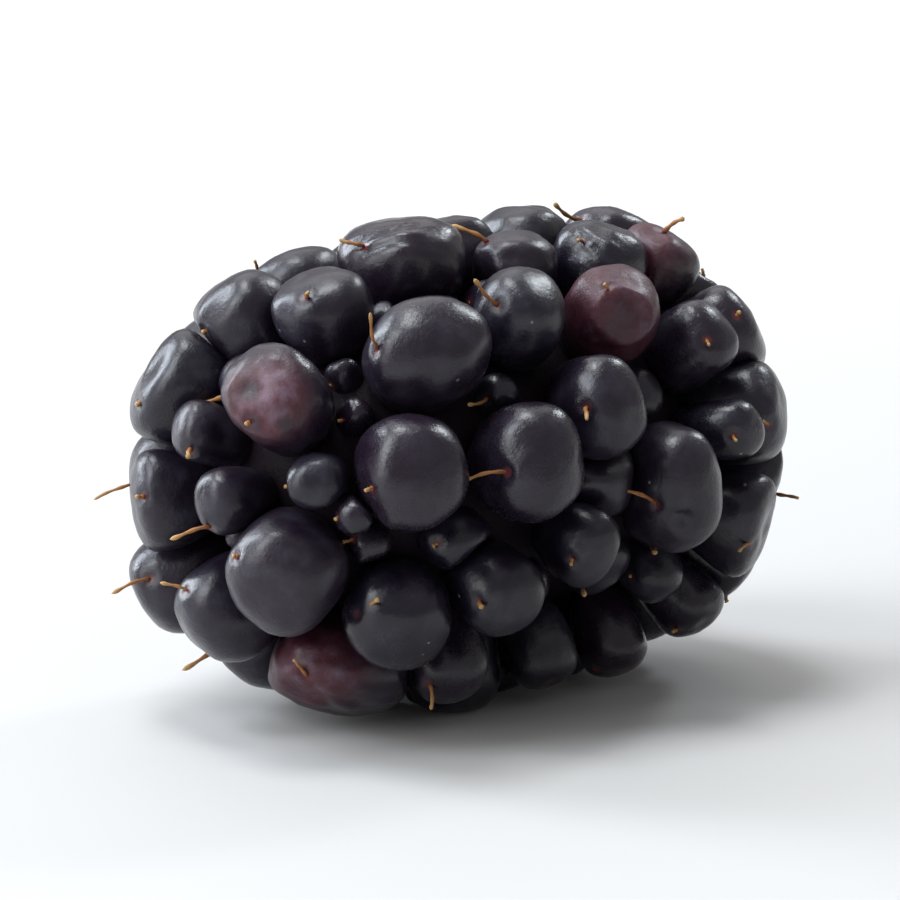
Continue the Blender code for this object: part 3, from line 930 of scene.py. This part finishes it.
style_rng = np.random.default_rng(STYLE_SEED)
hairs = []
for k in range(count):
    whole = style_rng.uniform() < WHOLE_SHARE
    length = style_rng.uniform(*(STYLE_LENGTHS if whole else STUB_LENGTHS))
    lean = np.radians(style_rng.uniform(-MOST_LEAN_DEG, MOST_LEAN_DEG, 2))
    bend = style_rng.uniform(*BENDS)
    turn = style_rng.uniform(0, 2 * math.pi)
    way = pit_ways[k]
    root = centres[k] + (pressed_reach(k, way[None])[0] - STYLE_ROOT - PIT_DENT) * way
    if k in SEEN_STYLES:
        tilt, heading, length, bend = SEEN_STYLES[k]
        way = on_drupelet(k, tilt, heading)
    elif root[2] + AXIS_HEIGHT < LOWEST_STYLE:
        continue
    else:
        down = frames[k][:, 1]
        way = way + math.tan(lean[0]) * down + math.tan(lean[1]) * np.cross(way, down)
        way /= np.linalg.norm(way)
    aside = np.cross(way, [math.cos(turn), 0.3, math.sin(turn)])
    aside /= np.linalg.norm(aside)
    thickness = style_rng.uniform(*THICKNESSES)
    hairs.append(hair(root, way, aside, length + STYLE_ROOT, bend, thickness))

hair_grid, hair_along = (np.array(each) for each in zip(*hairs))
dried = new_finish("dried_style", {"Specular IOR Level": 0.35}, style_finish)
add_piece("dried_styles", hair_grid, dried, {"along": hair_along})


# ---------------------------------------------------------------------------------------------
# The studio: a wide white floor that fades into white surroundings, and six soft lights.  The
# strongest is a tall one behind on the left, like a window; others stand on the left, overhead, on
# the right and behind.

FLOOR_RADIUS = 3.0  # metres, as all sizes here
FLOOR_SIDES = 128
FLOOR_WHITE = (0.50, 0.49, 0.485, 1)
FLOOR_FADE = (0.03, 0.35)  # the glow starts and ends this far from the berry
NO_GLOW = (0, 0, 0, 1)
FAR_GLOW = (0.80, 0.80, 0.80, 1)
FLOOR_SINK = 0.00005
SURROUNDINGS = 0.38
BACKDROP = 1.0
VIEW_AZIMUTH_DEG = -40
VIEW_ELEVATION_DEG = 12.5
LENS = 300
VIEW_WIDTH = 0.0385
SENSOR_WIDTH = 36
NEAREST_SEEN = 0.01


def floor_finish(blank):
    """Pale, and fading to the white of the surroundings far from the berry."""
    away = blank.node("ShaderNodeVectorMath", {"operation": "LENGTH"}, {0: blank.position()}, 1)
    return {
        "Roughness": 0.55 + 0.1 * blank.noise(40, 3),
        "Emission Color": away.step(*FLOOR_FADE).colour(NO_GLOW, FAR_GLOW),
    }


bpy.ops.mesh.primitive_circle_add(vertices=FLOOR_SIDES, radius=FLOOR_RADIUS, fill_type="NGON")
floor = bpy.context.object
floor.name = "floor"
floor.location.z = -FLOOR_SINK
floor_constants = {"Base Color": FLOOR_WHITE, "Emission Strength": 1.0}
floor.data.materials.append(new_finish("floor_white", floor_constants, floor_finish))

world = bpy.data.worlds.new("studio")
world.use_nodes = True
looked_at = Reading(world.node_tree).node("ShaderNodeLightPath", {}, {})  # 1, or 0 as a light
strength = SURROUNDINGS + looked_at * (BACKDROP - SURROUNDINGS)
background = world.node_tree.nodes["Background"]
background.inputs["Color"].default_value = (1, 1, 1, 1)
world.node_tree.links.new(strength.socket, background.inputs["Strength"])
bpy.context.scene.world = world
bpy.context.scene.view_settings.view_transform = "Standard"

low, high = cad_box
target = (low + high) / 2


def way_to(azimuth_deg, elevation_deg):
    """The unit vector from the berry towards this side: azimuth 0 is -Y and 90 is +X."""
    azimuth = math.radians(azimuth_deg)
    elevation = math.radians(elevation_deg)
    return Vector((
        math.sin(azimuth) * math.cos(elevation),
        -math.cos(azimuth) * math.cos(elevation),
        math.sin(elevation),
    ))


def add_softbox(name, azimuth_deg, elevation_deg, distance, size, watts, colour):
    """A soft light of this width and height that looks at the berry."""
    data = bpy.data.lights.new(name, "AREA")
    data.shape = "RECTANGLE"
    data.size, data.size_y = size
    data.energy = watts
    data.color = colour
    light = bpy.data.objects.new(name, data)
    bpy.context.scene.collection.objects.link(light)
    way = way_to(azimuth_deg, elevation_deg)
    light.location = target + way * distance
    light.rotation_euler = way.to_track_quat("Z", "Y").to_euler()


add_softbox("window_light", -159, 26, 0.40, (0.11, 0.32), 1.70, (0.84, 0.92, 1.0))
add_softbox("key_light", -105, 48, 0.40, (0.16, 0.20), 1.00, (0.88, 0.95, 1.0))
add_softbox("left_fill", -100, 20, 0.40, (0.26, 0.22), 0.62, (0.96, 0.98, 1.0))
add_softbox("side_light", 102, 36, 0.45, (0.08, 0.08), 0.50, (0.88, 0.95, 1.0))
add_softbox("top_light", -160, 78, 0.45, (0.14, 0.14), 1.10, (0.92, 0.97, 1.0))
add_softbox("back_light", 150, 50, 0.50, (0.35, 0.35), 0.50, (1.0, 0.99, 0.98))

camera_data = bpy.data.cameras.new("camera")
camera_data.lens = LENS
camera_data.sensor_width = SENSOR_WIDTH
camera = bpy.data.objects.new("camera", camera_data)
bpy.context.scene.collection.objects.link(camera)
way = way_to(VIEW_AZIMUTH_DEG, VIEW_ELEVATION_DEG)
camera.location = target + way * (VIEW_WIDTH * LENS / SENSOR_WIDTH)
camera.rotation_euler = way.to_track_quat("Z", "Y").to_euler()
camera_data.clip_start = NEAREST_SEEN
bpy.context.scene.camera = camera
